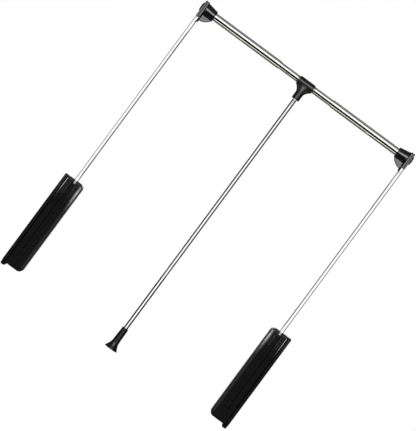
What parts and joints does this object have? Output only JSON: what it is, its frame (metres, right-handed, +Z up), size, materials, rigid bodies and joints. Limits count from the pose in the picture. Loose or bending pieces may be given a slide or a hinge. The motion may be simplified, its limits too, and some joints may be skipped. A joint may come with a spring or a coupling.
{
  "type": "pull-down wardrobe rail",
  "caption": "Pull-down wardrobe rail: sprung arms on wall housings swing a telescopic chrome rail forward and down by a hanging pull rod.",
  "frame": {"origin": "on the left wall plate's flat outer face, on the axis about which the arms swing", "axes": "+X runs across the wardrobe from the left wall to the right wall, -Y points to the front, +Z up along the arms at rest"},
  "size_m": [0.733, 0.0683, 0.8812],
  "materials": {
    "chrome": "bright chrome plate",
    "black_gloss": "glossy moulded black",
    "black_satin": "satin moulded black",
    "cast_black": "black painted casting",
    "steel": "plain zinc-plated steel",
    "dark_nylon": "dark self-lubricating nylon",
    "rubber": "black rubber"
  },
  "bodies": {
    "left_side": {"left_wall_plate": "black_satin", "left_cover": "black_gloss", "left_cover_screw_low": "steel", "left_cover_screw_high": "steel", "left_pivot_pin": "steel", "left_spring_anchor": "steel", "left_anchor_screw_front": "steel", "left_anchor_screw_back": "steel", "left_damper_barrel": "steel", "left_spring": "steel", "left_rest_bumper": "rubber"},
    "left_swing": {"left_swing_lever": "cast_black", "left_pivot_bush_wall": "dark_nylon", "left_pivot_bush_cover": "dark_nylon", "left_crank_pin": "steel", "left_arm": "chrome", "left_arm_screw_low": "steel", "left_arm_screw_high": "steel", "left_corner_bracket": "black_gloss", "left_rail_cap": "black_gloss", "left_clamp_screw": "steel", "left_outer_tube": "chrome"},
    "left_yoke": {"left_crosshead": "cast_black", "left_damper_rod": "steel"},
    "right_side": {"right_wall_plate": "black_satin", "right_cover": "black_gloss", "right_cover_screw_low": "steel", "right_cover_screw_high": "steel", "right_pivot_pin": "steel", "right_spring_anchor": "steel", "right_anchor_screw_front": "steel", "right_anchor_screw_back": "steel", "right_damper_barrel": "steel", "right_spring": "steel", "right_rest_bumper": "rubber"},
    "right_swing": {"right_swing_lever": "cast_black", "right_pivot_bush_wall": "dark_nylon", "right_pivot_bush_cover": "dark_nylon", "right_crank_pin": "steel", "right_arm": "chrome", "right_arm_screw_low": "steel", "right_arm_screw_high": "steel", "right_corner_bracket": "black_gloss", "right_rail_cap": "black_gloss", "right_clamp_screw": "steel", "right_outer_tube": "chrome"},
    "right_yoke": {"right_crosshead": "cast_black", "right_damper_rod": "steel"},
    "rail_center": {"rail_inner_tube": "chrome", "tee_bush": "black_satin"},
    "handle": {"tee_bracket": "black_satin", "tee_screw": "steel", "handle_rod": "chrome", "handle_grip": "black_satin"}
  },
  "joints": [
    {"name": "width_adjust", "type": "slide", "parent": "left_side", "child": "right_side", "axis": [1, 0, 0], "range_m": [-0.11, 0.1]},
    {"name": "left_arm_swing", "type": "hinge", "parent": "left_side", "child": "left_swing", "pos_m": [0.033, 0, 0], "axis": [1, 0, 0], "range_deg": [0, 100], "stiffness_Nm_per_rad": 6, "springref_deg": -20.05},
    {"name": "right_arm_swing", "type": "hinge", "parent": "right_side", "child": "right_swing", "pos_m": [0.7, 0, 0], "axis": [1, 0, 0], "range_deg": [0, 100], "stiffness_Nm_per_rad": 6, "springref_deg": -20.05},
    {"name": "inner_tube_slide", "type": "slide", "parent": "left_swing", "child": "rail_center", "axis": [1, 0, 0], "range_m": [-0.055, 0.05]},
    {"name": "handle_swivel", "type": "hinge", "parent": "rail_center", "child": "handle", "pos_m": [0.3665, 0, 0.792], "axis": [1, 0, 0], "continuous": true},
    {"name": "left_damper_slide", "type": "slide", "parent": "left_side", "child": "left_yoke", "axis": [0, 0, 1], "range_m": [0, 0.0276], "deforming": ["left_spring"]},
    {"name": "right_damper_slide", "type": "slide", "parent": "right_side", "child": "right_yoke", "axis": [0, 0, 1], "range_m": [0, 0.0276], "deforming": ["right_spring"]}
  ],
  "couplings": [
    {"joint": "right_arm_swing", "follows": "left_arm_swing", "ratio": 1},
    {"joint": "left_damper_slide", "follows": "left_arm_swing", "m_per_rad": 0.015801},
    {"joint": "right_damper_slide", "follows": "left_arm_swing", "m_per_rad": 0.015801},
    {"joint": "inner_tube_slide", "follows": "width_adjust", "ratio": 0.5}
  ]
}
